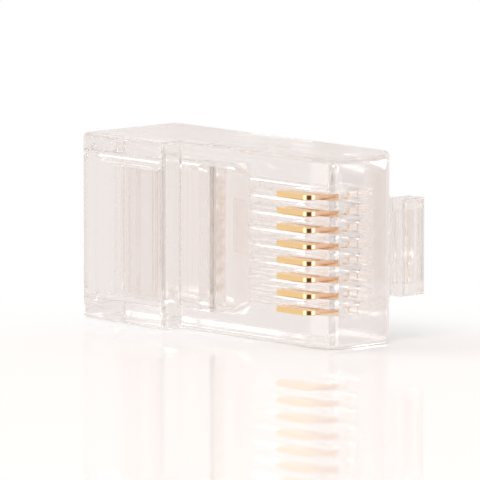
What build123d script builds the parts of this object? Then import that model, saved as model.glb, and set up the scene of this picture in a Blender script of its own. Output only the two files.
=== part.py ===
"""An eight-contact modular plug for flat and round data cable, as moulded and not yet crimped.

+X runs from the cable end to the nose, +Y from the contact side to the latch side, and +Z up
across the width. The plug stands on one narrow side, with the origin under the middle of its box.
Millimetres throughout.
"""

from build123d import *
from math import cos, radians, sin
import os

# Housing outside
body_length = 21.30
body_width = 11.68
nose_thickness = 6.50
rear_step = 1.40
rear_step_length = 7.70
nose_bevel_length = 1.65
nose_bevel_depth = 0.35
nose_edge_radius = 0.60
nose_back_cut = 1.57
nose_back_radius = 0.50
rear_edge_radius = 0.35
step_edge_radius = 0.45
step_foot_radius = 0.20
side_edge_radius = 0.30

# Contacts
contact_count = 8
contact_pitch = 1.016
contact_thickness = 0.35
contact_length = 3.05
contact_height = 3.50
contact_stand_proud = 0.88
contact_from_nose = 0.88
contact_corner_radius = 0.55
contact_rear_radius = 0.25
contact_edge_bevel = 0.05
tine_count = 3
tine_height = 0.85
tine_root_gap = 0.22
contact_side_clearance = 0.03
contact_end_clearance = 0.05
contact_travel = 1.36
nose_slot_depth = 1.60

# Conductor channels and cable cavity
channel_radius = 0.46
channel_depth = 3.20
channel_end_wall = 0.70
channel_start = 12.60
cavity_side_wall = 1.14
cavity_latch_wall = 0.90
cavity_rear_ceiling = 1.50
cavity_length = 6.60
throat_ceiling = 0.90
throat_end = 9.00
cavity_corner_radius = 0.80
mouth_chamfer = 0.40
chamber_ceiling = 1.70
chamber_end = 11.70
funnel_margin = 0.10

# Cable clamp tongue
window_start = 2.50
window_side_land = 0.65
window_front_wall = 1.05
tongue_hinge_radius = 0.26
tongue_hinge_cover = 0.16
tongue_recess = 0.90
tongue_end_thickness = 1.15
tongue_end_radius = 0.15
tongue_end_gap = 0.15
tongue_side_gap = 0.10

# Conductor clamp bar
bar_slot_start = 9.40
bar_slot_length = 1.62
bar_slot_side_land = 0.15
bar_recess = 0.80
bar_clearance = 0.05
bar_edge_radius = 0.12
bar_travel = 1.00

# Latch
latch_width = 6.02
latch_root_width = 4.50
latch_root_length = 2.40
latch_flare_length = 0.90
latch_neck_width = 3.25
latch_shoulder_from_nose = 8.00
latch_reach_from_nose = 14.20
latch_tilt = 9.5
latch_thickness = 1.30
latch_hinge_radius = 0.35
latch_thicken_length = 1.60
latch_body_gap = 0.20
latch_corner_radius = 0.50
latch_tip_radius = 0.15
latch_edge_radius = 0.30
latch_grip_radius = 0.20
latch_grip_count = 3
latch_grip_pitch = 0.80
chin_reach = 0.56
chin_depth = 0.81
chin_cover = 0.15
chin_edge_radius = 0.30
chin_side_radius = 0.25
chin_setback = 1.00

# Hinge beads turn in seats with this gap
hinge_clearance = 0.05

# Where things lie along the length
overall_length = body_length + chin_reach
rear_x = -overall_length / 2
nose_x = rear_x + body_length
chin_end_x = nose_x + chin_reach
step_x = rear_x + rear_step_length
contact_front_x = nose_x - contact_from_nose
contact_rear_x = contact_front_x - contact_length
latch_pivot_x = nose_x - chin_setback
latch_arm = latch_reach_from_nose - chin_setback
latch_shoulder = latch_shoulder_from_nose - chin_setback
window_x = rear_x + window_start
window_end_x = step_x - window_front_wall
bar_slot_x = rear_x + bar_slot_start
chamber_end_x = rear_x + chamber_end
channel_start_x = rear_x + channel_start

# Where things lie through the thickness
latch_pivot_height = latch_body_gap + latch_hinge_radius
latch_outer_offset = latch_thickness - latch_hinge_radius
latch_stand_off = (
    latch_pivot_height
    + latch_arm * sin(radians(latch_tilt))
    + latch_outer_offset * cos(radians(latch_tilt))
)
overall_height = rear_step + nose_thickness + latch_stand_off
rear_face_y = -overall_height / 2
contact_face_y = rear_face_y + rear_step
latch_face_y = contact_face_y + nose_thickness
latch_pivot_y = latch_face_y + latch_pivot_height
chin_face_y = latch_pivot_y + latch_hinge_radius + hinge_clearance + chin_cover
chin_foot_y = latch_face_y - chin_depth
cavity_top_y = rear_face_y + cavity_rear_ceiling
throat_top_y = contact_face_y + throat_ceiling
cavity_floor_y = latch_face_y - cavity_latch_wall
chamber_top_y = contact_face_y + chamber_ceiling
channel_y = contact_face_y + channel_depth
contact_top_y = contact_face_y - contact_stand_proud
contact_slot_floor_y = contact_top_y + contact_height + contact_travel + contact_end_clearance
tongue_pivot_y = rear_face_y + tongue_hinge_cover + hinge_clearance + tongue_hinge_radius

# Across the width
cavity_width = body_width - 2 * cavity_side_wall
window_width = cavity_width - 2 * window_side_land
bar_slot_width = cavity_width - 2 * bar_slot_side_land
mid_z = body_width / 2
mid_plane = Plane.XY.offset(mid_z)


def contact_z(index):
    """Height of one contact's middle, counted from the top one down."""
    return mid_z + contact_pitch * ((contact_count - 1) / 2 - index)


def corner_at(x, y):
    """The corner of the outline being drawn that lies nearest to a point."""
    return vertices().sort_by_distance((x, y))[0]


def side_block(x_low, x_high, y_low, y_high):
    """The side outline of a plain block or hollow, drawn at the middle of the width."""
    with BuildSketch(mid_plane) as outline:
        with Locations(((x_low + x_high) / 2, (y_low + y_high) / 2)):
            Rectangle(x_high - x_low, y_high - y_low)
    return outline.sketch


def cross_section(x, y_low, y_high, width):
    """A round-cornered section across the plug, for a hollow that runs along it."""
    plane = Plane(origin=(x, (y_low + y_high) / 2, mid_z), x_dir=(0, 1, 0), z_dir=(1, 0, 0))
    radius = min(cavity_corner_radius, 0.45 * (y_high - y_low))
    with BuildSketch(plane) as section:
        RectangleRounded(y_high - y_low, width, radius)
    return section.sketch


# Housing outside: its side outline drawn across the full width
with BuildPart() as plug_housing:
    with BuildSketch(Plane.XY):
        with BuildLine():
            Polyline(
                (rear_x, rear_face_y),
                (step_x, rear_face_y),
                (step_x, contact_face_y),
                (nose_x - nose_bevel_length, contact_face_y),
                (nose_x, contact_face_y + nose_bevel_depth),
                (nose_x, latch_face_y - nose_back_cut),
                (nose_x - nose_back_cut, latch_face_y),
                (rear_x, latch_face_y),
                close=True,
            )
        make_face()
        fillet(corner_at(rear_x, rear_face_y), radius=rear_edge_radius)
        fillet(corner_at(rear_x, latch_face_y), radius=rear_edge_radius)
        fillet(corner_at(step_x, rear_face_y), radius=step_edge_radius)
        fillet(corner_at(step_x, contact_face_y), radius=step_foot_radius)
        fillet(corner_at(nose_x, contact_face_y + nose_bevel_depth), radius=nose_edge_radius)
        fillet(corner_at(nose_x, latch_face_y - nose_back_cut), radius=nose_back_radius)
        fillet(corner_at(nose_x - nose_back_cut, latch_face_y), radius=nose_back_radius)
    extrude(amount=body_width)
    ends = faces().sort_by(Axis.Z)
    fillet(ends[0].edges() + ends[-1].edges(), radius=side_edge_radius)

    # Latch root: a tongue of plastic that stands out past the nose and the latch side
    with BuildSketch(mid_plane):
        with BuildLine():
            Polyline(
                (latch_pivot_x, latch_face_y - nose_back_cut),
                (nose_x - side_edge_radius, latch_face_y - nose_back_cut),
                (nose_x - chin_depth, chin_foot_y),
                (chin_end_x, chin_foot_y),
                (chin_end_x, chin_face_y),
                (latch_pivot_x, chin_face_y),
                close=True,
            )
        make_face()
        fillet(corner_at(chin_end_x, chin_foot_y), radius=chin_edge_radius)
        fillet(corner_at(chin_end_x, chin_face_y), radius=chin_edge_radius)
        fillet(corner_at(nose_x - chin_depth, chin_foot_y), radius=chin_edge_radius)
    extrude(amount=latch_width / 2, both=True)
    chin_front = Plane(origin=(chin_end_x, chin_face_y, mid_z), x_dir=(1, 0, 0), z_dir=(0, -1, 0))
    with BuildSketch(chin_front):
        for side in (-1, 1):
            with Locations((-chin_side_radius / 2, side * (latch_width - chin_side_radius) / 2)):
                Rectangle(chin_side_radius, chin_side_radius)
        for side in (-1, 1):
            with Locations((-chin_side_radius, side * (latch_width / 2 - chin_side_radius))):
                Circle(chin_side_radius, mode=Mode.SUBTRACT)
    extrude(amount=chin_face_y - chin_foot_y, mode=Mode.SUBTRACT)
    with BuildSketch(mid_plane):
        with Locations((latch_pivot_x, latch_pivot_y)):
            Circle(latch_hinge_radius + hinge_clearance)
    extrude(amount=latch_root_width / 2 + hinge_clearance, both=True, mode=Mode.SUBTRACT)

    # Cable cavity, then the funnel that gathers the conductors
    for hollow_top_y, hollow_length in (
        (cavity_top_y, cavity_length),
        (throat_top_y, throat_end),
        (chamber_top_y, chamber_end),
    ):
        hollow = cross_section(rear_x, hollow_top_y, cavity_floor_y, cavity_width)
        extrude(hollow, amount=hollow_length, mode=Mode.SUBTRACT)
    funnel_mouth = cross_section(chamber_end_x, chamber_top_y, cavity_floor_y, cavity_width)
    funnel_end = cross_section(
        channel_start_x,
        channel_y - channel_radius - funnel_margin,
        channel_y + channel_radius + funnel_margin,
        contact_pitch * (contact_count - 1) + 2 * (channel_radius + funnel_margin),
    )
    loft([funnel_mouth, funnel_end], mode=Mode.SUBTRACT)
    rear_face = faces().sort_by(Axis.X)[0]
    chamfer(rear_face.inner_wires()[0].edges(), length=mouth_chamfer)

    # One round channel for each conductor, closed at the nose
    for index in range(contact_count):
        start = Plane(
            origin=(channel_start_x, channel_y, contact_z(index)), x_dir=(0, 1, 0), z_dir=(1, 0, 0)
        )
        with BuildSketch(start):
            Circle(channel_radius)
    extrude(amount=nose_x - channel_end_wall - channel_start_x, mode=Mode.SUBTRACT)

    # A slot for each contact, open on the contact side and at the top of the nose
    slot_width = contact_thickness + 2 * contact_side_clearance
    for index in range(contact_count):
        with BuildSketch(Plane.XY.offset(contact_z(index) - slot_width / 2)):
            with BuildLine():
                Polyline(
                    (contact_rear_x - contact_end_clearance, rear_face_y),
                    (nose_x + contact_end_clearance, rear_face_y),
                    (nose_x + contact_end_clearance, contact_face_y + nose_slot_depth),
                    (contact_front_x + contact_end_clearance, contact_face_y + nose_slot_depth),
                    (contact_front_x + contact_end_clearance, contact_slot_floor_y),
                    (contact_rear_x - contact_end_clearance, contact_slot_floor_y),
                    close=True,
                )
            make_face()
        extrude(amount=slot_width, mode=Mode.SUBTRACT)

    # Window over the cable clamp tongue, with the seat that its hinge bead turns in
    window = side_block(window_x, window_end_x, rear_face_y, cavity_top_y + cavity_corner_radius)
    extrude(window, amount=window_width / 2, both=True, mode=Mode.SUBTRACT)
    with BuildSketch(mid_plane):
        with Locations((window_end_x, tongue_pivot_y)):
            Circle(tongue_hinge_radius + hinge_clearance)
    extrude(amount=window_width / 2, both=True, mode=Mode.SUBTRACT)

    # Slot that guides the conductor clamp bar
    bar_slot_end_x = bar_slot_x + bar_slot_length
    bar_slot = side_block(bar_slot_x, bar_slot_end_x, contact_face_y, chamber_top_y + bar_travel)
    extrude(bar_slot, amount=bar_slot_width / 2, both=True, mode=Mode.SUBTRACT)
plug_housing.part.label = "plug_housing"


# Latch: a side outline and a plan outline, drawn along the lever as it stands at rest
tilt = radians(latch_tilt)
lever_side = Plane(
    origin=(latch_pivot_x, latch_pivot_y, mid_z), x_dir=(-cos(tilt), sin(tilt), 0), z_dir=(0, 0, -1)
)
lever_plan = Plane(
    origin=(latch_pivot_x, latch_pivot_y, mid_z),
    x_dir=(-cos(tilt), sin(tilt), 0),
    z_dir=(sin(tilt), cos(tilt), 0),
)
with BuildPart() as latch_lever:
    with BuildSketch(lever_side):
        with BuildLine():
            Polyline(
                (0, -latch_hinge_radius),
                (latch_arm, -latch_hinge_radius),
                (latch_arm, latch_outer_offset),
                (latch_thicken_length, latch_outer_offset),
                (0, latch_hinge_radius),
                close=True,
            )
        make_face()
        fillet(corner_at(latch_arm, -latch_hinge_radius), radius=latch_corner_radius)
        fillet(corner_at(latch_arm, latch_outer_offset), radius=latch_tip_radius)
        Circle(latch_hinge_radius)
        for grip in range(latch_grip_count):
            with Locations((latch_arm - (grip + 1) * latch_grip_pitch, latch_outer_offset)):
                Circle(latch_grip_radius, mode=Mode.SUBTRACT)
    extrude(amount=latch_width / 2, both=True)
    with BuildSketch(lever_plan):
        with BuildLine():
            Polyline(
                (-latch_hinge_radius, 0),
                (-latch_hinge_radius, latch_root_width / 2),
                (latch_root_length, latch_root_width / 2),
                (latch_root_length + latch_flare_length, latch_width / 2),
                (latch_shoulder, latch_width / 2),
                (latch_shoulder, latch_neck_width / 2),
                (latch_arm, latch_neck_width / 2),
                (latch_arm, 0),
                close=True,
            )
        make_face()
        fillet(corner_at(latch_arm, latch_neck_width / 2), radius=latch_edge_radius)
        fillet(corner_at(latch_shoulder, latch_neck_width / 2), radius=latch_edge_radius)
        fillet(corner_at(latch_root_length, latch_root_width / 2), radius=latch_edge_radius)
        mirror(about=Plane.XZ)
    extrude(amount=latch_thickness * 2, both=True, mode=Mode.INTERSECT)
latch_lever.part.label = "latch_lever"


# Cable clamp tongue: a wedge on a thin web, which swings in to hold the cable's jacket
tongue_free_x = window_x + tongue_end_gap
tongue_face_y = rear_face_y + tongue_recess
tongue_width = window_width - 2 * tongue_side_gap
with BuildPart() as cable_clamp_tongue:
    with BuildSketch(mid_plane):
        with BuildLine():
            Polyline(
                (window_end_x, tongue_pivot_y - tongue_hinge_radius),
                (tongue_free_x, tongue_face_y),
                (tongue_free_x, tongue_face_y + tongue_end_thickness),
                (window_end_x, tongue_pivot_y + tongue_hinge_radius),
                close=True,
            )
        make_face()
        fillet(corner_at(tongue_free_x, tongue_face_y), radius=tongue_end_radius)
        fillet(
            corner_at(tongue_free_x, tongue_face_y + tongue_end_thickness), radius=tongue_end_radius
        )
        with Locations((window_end_x, tongue_pivot_y)):
            Circle(tongue_hinge_radius)
    extrude(amount=tongue_width / 2, both=True)
cable_clamp_tongue.part.label = "cable_clamp_tongue"


# Conductor clamp bar: pressed in flat over the conductors
bar_width = bar_slot_width - 2 * bar_clearance
bar_top_y = contact_face_y + bar_recess
with BuildPart() as conductor_clamp_bar:
    with BuildSketch(mid_plane):
        with Locations((bar_slot_x + bar_slot_length / 2, (bar_top_y + chamber_top_y) / 2)):
            Rectangle(bar_slot_length - 2 * bar_clearance, chamber_top_y - bar_top_y)
        fillet(vertices(), radius=bar_edge_radius)
    extrude(amount=bar_width / 2, both=True)
conductor_clamp_bar.part.label = "conductor_clamp_bar"


def make_contact(index):
    """A gold-plated blade with a round front corner and three piercing tines along its foot."""
    tine_pitch = contact_length / tine_count
    foot_y = contact_top_y + contact_height
    root_y = foot_y - tine_height
    points = [(contact_rear_x, contact_top_y), (contact_front_x, contact_top_y)]
    for tine in range(tine_count):
        tine_front_x = contact_front_x - tine * tine_pitch
        tine_rear_x = tine_front_x - tine_pitch
        points.append((tine_front_x - tine_root_gap / 2, root_y))
        points.append(((tine_front_x + tine_rear_x) / 2, foot_y))
        points.append((tine_rear_x + tine_root_gap / 2, root_y))
    points[2] = (contact_front_x, root_y)
    points[-1] = (contact_rear_x, root_y)
    with BuildPart() as contact:
        with BuildSketch(Plane.XY.offset(contact_z(index) - contact_thickness / 2)):
            with BuildLine():
                Polyline(*points, close=True)
            make_face()
            fillet(corner_at(contact_front_x, contact_top_y), radius=contact_corner_radius)
            fillet(corner_at(contact_rear_x, contact_top_y), radius=contact_rear_radius)
        extrude(amount=contact_thickness)
        crown = faces().filter_by(Axis.Z).edges().filter_by_position(
            Axis.Y, contact_top_y, contact_top_y + contact_corner_radius / 2
        )
        chamfer(crown, length=contact_edge_bevel)
    return contact


contacts = []
for number in range(contact_count):
    contact = make_contact(number)
    contact.part.label = f"contact_{number + 1}"
    contacts.append(contact)


os.makedirs("parts", exist_ok=True)
for piece in (plug_housing, latch_lever, cable_clamp_tongue, conductor_clamp_bar, *contacts):
    export_step(piece.part, f"parts/{piece.part.label}.step")
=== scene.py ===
"""Looks of the eight-contact modular plug: clear moulded plastic and gold-plated contacts. Metres."""
import math

import bpy
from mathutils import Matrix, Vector


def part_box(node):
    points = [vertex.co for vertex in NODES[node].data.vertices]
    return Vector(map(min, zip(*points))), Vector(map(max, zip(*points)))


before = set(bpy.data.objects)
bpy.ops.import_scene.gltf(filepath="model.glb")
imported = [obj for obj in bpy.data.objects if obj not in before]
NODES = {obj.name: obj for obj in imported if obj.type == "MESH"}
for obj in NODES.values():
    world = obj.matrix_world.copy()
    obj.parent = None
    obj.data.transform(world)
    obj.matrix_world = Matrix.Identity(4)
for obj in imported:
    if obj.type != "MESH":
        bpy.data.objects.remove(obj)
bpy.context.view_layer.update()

MM = 0.001

# The photograph's view: the angle round the plug, the angle above it, and how far away the camera is
VIEW_AZIMUTH = math.radians(47.96)
VIEW_ELEVATION = math.radians(7.42)
VIEW_DISTANCE = 666.35 * MM
FRAME_PIXELS = 480
FOCAL_PIXELS = 10763.5
SENSOR_WIDTH = 36.0
PLUG_CENTRE_PIXEL = (253.4, 235.1)
# The point of the plug that falls on that pixel, from the corners of the housing's box
CHIN_REACH = 0.56 * MM
REAR_STEP = 1.40 * MM
HALF_BODY_LENGTH = 10.45 * MM
HALF_NOSE_THICKNESS = 3.25 * MM

# Plastic: the clear colour; the clamp bar's darker colour and how much light passes through it, painted shade
# that darkens the groove the bar sits in; polish, and haze
CLEAR_COLOUR = (1.0, 0.975, 0.963, 1.0)
BAR_SHADE_COLOUR = (0.90, 0.85, 0.82, 1.0)
BAR_SHADE_TRANSMISSION = 0.85
PLASTIC_IOR = 1.58
PLASTIC_ROUGHNESS = (0.06, 0.11)
PLASTIC_WAVE_SCALE = 400.0
PLASTIC_WAVE_STRENGTH = 0.02
PLASTIC_WAVE_HEIGHT = 0.02 * MM
HAZE_COLOUR = (1.0, 0.996, 0.993, 1.0)
HAZE_DENSITY = 12.0
HAZE_FORWARD_SCATTER = 0.9

# Gold plate: two tones that the grain mixes, and the sheared front face, with how squarely it faces the nose
GOLD_DEEP = (1.0, 0.68, 0.33, 1.0)
GOLD_PALE = (1.0, 0.75, 0.39, 1.0)
GOLD_FRONT = (0.88, 0.60, 0.42, 1.0)
GOLD_FRONT_NORMAL = (0.85, 0.98)
GOLD_ROUGHNESS = (0.14, 0.26)
GOLD_GRAIN_SCALE = 2500.0
GOLD_GRAIN_STRENGTH = 0.15
GOLD_GRAIN_HEIGHT = 0.01 * MM
NOISE_DETAIL = 3.0

# Table top, and how far behind the plug's middle its fade into white starts and ends
TABLE_COLOUR = (0.93, 0.895, 0.875, 1.0)
TABLE_ROUGHNESS = 0.03
TABLE_IOR = 1.8
TABLE_HALF_SIZE = 2.0
TABLE_DROP = 0.02 * MM
TABLE_FADE = (-14 * MM, 12 * MM)

# Room: what lights dull faces, and what is seen directly, in gloss or through the plastic
ROOM_LIGHT = (0.76, 0.76, 0.76, 1.0)
ROOM_SEEN = (0.875, 0.832, 0.812, 1.0)
# How much brighter than the room the ring light is, how much darker its middle is, and the cosines of the angles
# over which each sets in
RING_GAIN = 2.0
LENS_LOSS = 0.9
RING_EDGE = (0.20, 0.32)
LENS_EDGE = (0.78, 0.84)
# At the background the ray depth is one more than the bounces, so this splits the first bounce from the rest
FIRST_BOUNCE_DEPTH = 2.5

# Lamps: name, place, size and power in watts
LAMPS = (
    ("key_light", (0.35, -0.45, 0.75), 0.50, 4.0),
    ("fill_light", (-0.45, -0.35, 0.60), 0.40, 1.7),
)

# Light bounces many times inside clear plastic before it comes out
MAX_BOUNCES = 64
MAX_VOLUME_BOUNCES = 16
MAX_TRANSPARENT_BOUNCES = 32


def view_vector(elevation):
    """A unit vector from the plug to the photograph's side, at an angle above the table."""
    return Vector((
        math.sin(VIEW_AZIMUTH) * math.cos(elevation),
        -math.cos(VIEW_AZIMUTH) * math.cos(elevation),
        math.sin(elevation),
    ))


def new_material(name):
    """A material with an empty node tree and its output, ready to be wired."""
    material = bpy.data.materials.new(name)
    material.use_nodes = True
    nodes = material.node_tree.nodes
    nodes.clear()
    output = nodes.new("ShaderNodeOutputMaterial")
    return material, nodes, material.node_tree.links, output


def math_node(nodes, links, operation, first, second):
    """One step of arithmetic on two inputs, each a socket or a plain value."""
    node = nodes.new("ShaderNodeMath")
    node.operation = operation
    for socket, value in zip(node.inputs, (first, second)):
        if isinstance(value, (int, float)):
            socket.default_value = value
        else:
            links.new(value, socket)
    return node.outputs[0]


def rise(nodes, links, value, edge, interpolation="LINEAR"):
    """Rises from 0 at the edge's low value to 1 at its high value."""
    node = nodes.new("ShaderNodeMapRange")
    node.interpolation_type = interpolation
    node.inputs["From Min"].default_value, node.inputs["From Max"].default_value = edge
    links.new(value, node.inputs["Value"])
    return node.outputs["Result"]


def spread(nodes, links, noise, limits):
    """Spreads a noise between two limits."""
    node = nodes.new("ShaderNodeMapRange")
    node.inputs["To Min"].default_value, node.inputs["To Max"].default_value = limits
    links.new(noise.outputs["Fac"], node.inputs["Value"])
    return node.outputs["Result"]


def along(nodes, links, place, direction):
    """How far a place or direction goes along another direction."""
    node = nodes.new("ShaderNodeVectorMath")
    node.operation = "DOT_PRODUCT"
    node.inputs[1].default_value = direction
    links.new(place, node.inputs[0])
    return node.outputs["Value"]


def noise_bump(nodes, links, scale, strength, height):
    """A fine noise, in metres of the plug itself, that drives a bump."""
    place = nodes.new("ShaderNodeTexCoord")
    noise = nodes.new("ShaderNodeTexNoise")
    noise.inputs["Scale"].default_value = scale
    noise.inputs["Detail"].default_value = NOISE_DETAIL
    links.new(place.outputs["Object"], noise.inputs["Vector"])
    bump = nodes.new("ShaderNodeBump")
    bump.inputs["Strength"].default_value = strength
    bump.inputs["Distance"].default_value = height
    links.new(noise.outputs["Fac"], bump.inputs["Height"])
    return noise, bump


def clear_plastic(name, colour, transmission):
    """Clear polycarbonate with a moulding's faint waviness and haze. A darker colour with less transmission is
    painted shade, used on the clamp bar so its groove reads darker.
    """
    material, nodes, links, output = new_material(name)
    shader = nodes.new("ShaderNodeBsdfPrincipled")
    shader.inputs["Base Color"].default_value = colour
    shader.inputs["Transmission Weight"].default_value = transmission
    shader.inputs["IOR"].default_value = PLASTIC_IOR
    noise, bump = noise_bump(
        nodes, links, PLASTIC_WAVE_SCALE, PLASTIC_WAVE_STRENGTH, PLASTIC_WAVE_HEIGHT
    )
    links.new(spread(nodes, links, noise, PLASTIC_ROUGHNESS), shader.inputs["Roughness"])
    links.new(bump.outputs["Normal"], shader.inputs["Normal"])
    links.new(shader.outputs["BSDF"], output.inputs["Surface"])
    haze = nodes.new("ShaderNodeVolumeScatter")
    haze.inputs["Color"].default_value = HAZE_COLOUR
    haze.inputs["Density"].default_value = HAZE_DENSITY
    haze.inputs["Anisotropy"].default_value = HAZE_FORWARD_SCATTER
    links.new(haze.outputs["Volume"], output.inputs["Volume"])
    return material


def gold_plate():
    """Bright gold plate with a fine grain. The sheared front face is paler and pinker than the others."""
    material, nodes, links, output = new_material("gold_plate")
    shader = nodes.new("ShaderNodeBsdfPrincipled")
    shader.inputs["Metallic"].default_value = 1.0
    noise, bump = noise_bump(nodes, links, GOLD_GRAIN_SCALE, GOLD_GRAIN_STRENGTH, GOLD_GRAIN_HEIGHT)
    tint = nodes.new("ShaderNodeValToRGB")
    tint.color_ramp.elements[0].color = GOLD_DEEP
    tint.color_ramp.elements[1].color = GOLD_PALE
    links.new(noise.outputs["Fac"], tint.inputs["Fac"])
    place = nodes.new("ShaderNodeTexCoord")
    facing = nodes.new("ShaderNodeSeparateXYZ")
    links.new(place.outputs["Normal"], facing.inputs[0])
    mix = nodes.new("ShaderNodeMix")
    mix.data_type = "RGBA"
    links.new(rise(nodes, links, facing.outputs["X"], GOLD_FRONT_NORMAL), mix.inputs["Factor"])
    links.new(tint.outputs["Color"], mix.inputs["A"])
    mix.inputs["B"].default_value = GOLD_FRONT
    links.new(mix.outputs["Result"], shader.inputs["Base Color"])
    links.new(spread(nodes, links, noise, GOLD_ROUGHNESS), shader.inputs["Roughness"])
    links.new(bump.outputs["Normal"], shader.inputs["Normal"])
    links.new(shader.outputs["BSDF"], output.inputs["Surface"])
    return material


def dress(name, material):
    """Gives a CAD node's surface a material."""
    node = NODES[name]
    node.data.materials.clear()
    node.data.materials.append(material)


def add_floor():
    """A glossy pale table top that fades into the white background behind the plug.

    Gloss and plastic see the pale room past it.
    """
    material, nodes, links, output = new_material("table_top")
    shader = nodes.new("ShaderNodeBsdfPrincipled")
    shader.inputs["Base Color"].default_value = TABLE_COLOUR
    shader.inputs["Roughness"].default_value = TABLE_ROUGHNESS
    shader.inputs["IOR"].default_value = TABLE_IOR
    white = nodes.new("ShaderNodeEmission")
    place = nodes.new("ShaderNodeNewGeometry")
    behind = along(nodes, links, place.outputs["Position"], -view_vector(0))
    fade = rise(nodes, links, behind, TABLE_FADE, "SMOOTHSTEP")
    path = nodes.new("ShaderNodeLightPath")
    mix = nodes.new("ShaderNodeMixShader")
    links.new(math_node(nodes, links, "MULTIPLY", fade, path.outputs["Is Camera Ray"]), mix.inputs["Fac"])
    links.new(shader.outputs["BSDF"], mix.inputs[1])
    links.new(white.outputs["Emission"], mix.inputs[2])
    links.new(mix.outputs[0], output.inputs["Surface"])
    mesh = bpy.data.meshes.new("table_top")
    signs = ((-1, -1), (1, -1), (1, 1), (-1, 1))
    corners = [(x * TABLE_HALF_SIZE, y * TABLE_HALF_SIZE, 0) for x, y in signs]
    mesh.from_pydata(corners, [], [(0, 1, 2, 3)])
    floor = bpy.data.objects.new("table_top", mesh)
    floor.location.z = -TABLE_DROP
    floor.visible_glossy = False
    floor.visible_transmission = False
    bpy.context.scene.collection.objects.link(floor)
    mesh.materials.append(material)


def add_world():
    """A plain pale room, a little warm where it is seen directly, in gloss or through the plastic.

    Outer gloss also mirrors a ring light round a dark lens, which shows on the photograph's blades.
    """
    world = bpy.data.worlds.new("studio")
    bpy.context.scene.world = world
    world.use_nodes = True
    nodes, links = world.node_tree.nodes, world.node_tree.links
    nodes.clear()
    output = nodes.new("ShaderNodeOutputWorld")
    path = nodes.new("ShaderNodeLightPath")
    lighting = nodes.new("ShaderNodeBackground")
    lighting.inputs["Color"].default_value = ROOM_LIGHT
    seen = nodes.new("ShaderNodeBackground")
    seen.inputs["Color"].default_value = ROOM_SEEN

    # The ring's middle lies on the camera's side, as far below the table's level as the camera is above it
    place = nodes.new("ShaderNodeTexCoord")
    toward = along(nodes, links, place.outputs["Generated"], view_vector(-VIEW_ELEVATION))
    disc = rise(nodes, links, toward, RING_EDGE, "SMOOTHSTEP")
    lens = rise(nodes, links, toward, LENS_EDGE, "SMOOTHSTEP")
    ring = math_node(nodes, links, "SUBTRACT", disc, lens)
    ring = math_node(nodes, links, "MULTIPLY", ring, RING_GAIN)
    gain = math_node(nodes, links, "SUBTRACT", ring, math_node(nodes, links, "MULTIPLY", lens, LENS_LOSS))

    # Only outer gloss mirrors it, at the first bounce
    first_bounce = math_node(nodes, links, "LESS_THAN", path.outputs["Ray Depth"], FIRST_BOUNCE_DEPTH)
    outside = math_node(nodes, links, "SUBTRACT", 1.0, path.outputs["Is Transmission Ray"])
    mirrored = math_node(nodes, links, "MULTIPLY", path.outputs["Is Glossy Ray"], first_bounce)
    mirrored = math_node(nodes, links, "MULTIPLY", mirrored, outside)
    gain = math_node(nodes, links, "MULTIPLY", gain, mirrored)
    links.new(math_node(nodes, links, "ADD", gain, 1.0), seen.inputs["Strength"])

    any_seen = path.outputs["Is Camera Ray"]
    for kind in ("Is Glossy Ray", "Is Transmission Ray"):
        any_seen = math_node(nodes, links, "MAXIMUM", any_seen, path.outputs[kind])
    mix = nodes.new("ShaderNodeMixShader")
    links.new(any_seen, mix.inputs["Fac"])
    links.new(lighting.outputs[0], mix.inputs[1])
    links.new(seen.outputs[0], mix.inputs[2])
    links.new(mix.outputs[0], output.inputs["Surface"])


def add_camera():
    """The photograph's viewpoint. The plug's centre falls on the pixel where the photograph has it."""
    low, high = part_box("plug_housing")
    nose_x = high.x - CHIN_REACH
    contact_face_y = low.y + REAR_STEP
    centre = Vector((nose_x - HALF_BODY_LENGTH, contact_face_y + HALF_NOSE_THICKNESS, (low.z + high.z) / 2))
    back = view_vector(VIEW_ELEVATION)
    right = Vector((math.cos(VIEW_AZIMUTH), math.sin(VIEW_AZIMUTH), 0))
    up = back.cross(right)
    half = FRAME_PIXELS / 2
    pixel = VIEW_DISTANCE / FOCAL_PIXELS
    aim = centre + right * (half - PLUG_CENTRE_PIXEL[0]) * pixel
    aim += up * (PLUG_CENTRE_PIXEL[1] - half) * pixel
    data = bpy.data.cameras.new("camera")
    data.sensor_width = SENSOR_WIDTH
    data.sensor_height = SENSOR_WIDTH
    data.sensor_fit = "HORIZONTAL"
    data.lens = SENSOR_WIDTH * FOCAL_PIXELS / FRAME_PIXELS
    data.clip_start = 10 * MM
    camera = bpy.data.objects.new("camera", data)
    camera.location = aim + back * VIEW_DISTANCE
    camera.rotation_euler = (-back).to_track_quat("-Z", "Y").to_euler()
    bpy.context.scene.collection.objects.link(camera)
    bpy.context.scene.camera = camera


def add_lights():
    """Soft boxes over and beside the plug, aimed at it. Gloss doesn't mirror them."""
    for name, place, size, power in LAMPS:
        data = bpy.data.lights.new(name, "AREA")
        data.size = size
        data.energy = power
        light = bpy.data.objects.new(name, data)
        light.location = place
        light.visible_glossy = False
        light.rotation_euler = (-Vector(place)).to_track_quat("-Z", "Y").to_euler()
        bpy.context.scene.collection.objects.link(light)


clear = clear_plastic("clear_plastic", CLEAR_COLOUR, 1.0)
# The clamp bar gets a darker, less clear plastic: painted shade for the groove band it sits in.
bar_shade_plastic = clear_plastic("bar_painted_shade", BAR_SHADE_COLOUR, BAR_SHADE_TRANSMISSION)
gold = gold_plate()
for node_name in NODES:
    if node_name.startswith("contact"):
        dress(node_name, gold)
    else:
        dress(node_name, bar_shade_plastic if node_name == "conductor_clamp_bar" else clear)

add_floor()
add_world()
add_lights()
add_camera()

scene = bpy.context.scene
scene.view_settings.view_transform = "Standard"
scene.cycles.max_bounces = MAX_BOUNCES
scene.cycles.volume_bounces = MAX_VOLUME_BOUNCES
scene.cycles.transmission_bounces = MAX_BOUNCES
scene.cycles.glossy_bounces = MAX_BOUNCES
scene.cycles.transparent_max_bounces = MAX_TRANSPARENT_BOUNCES
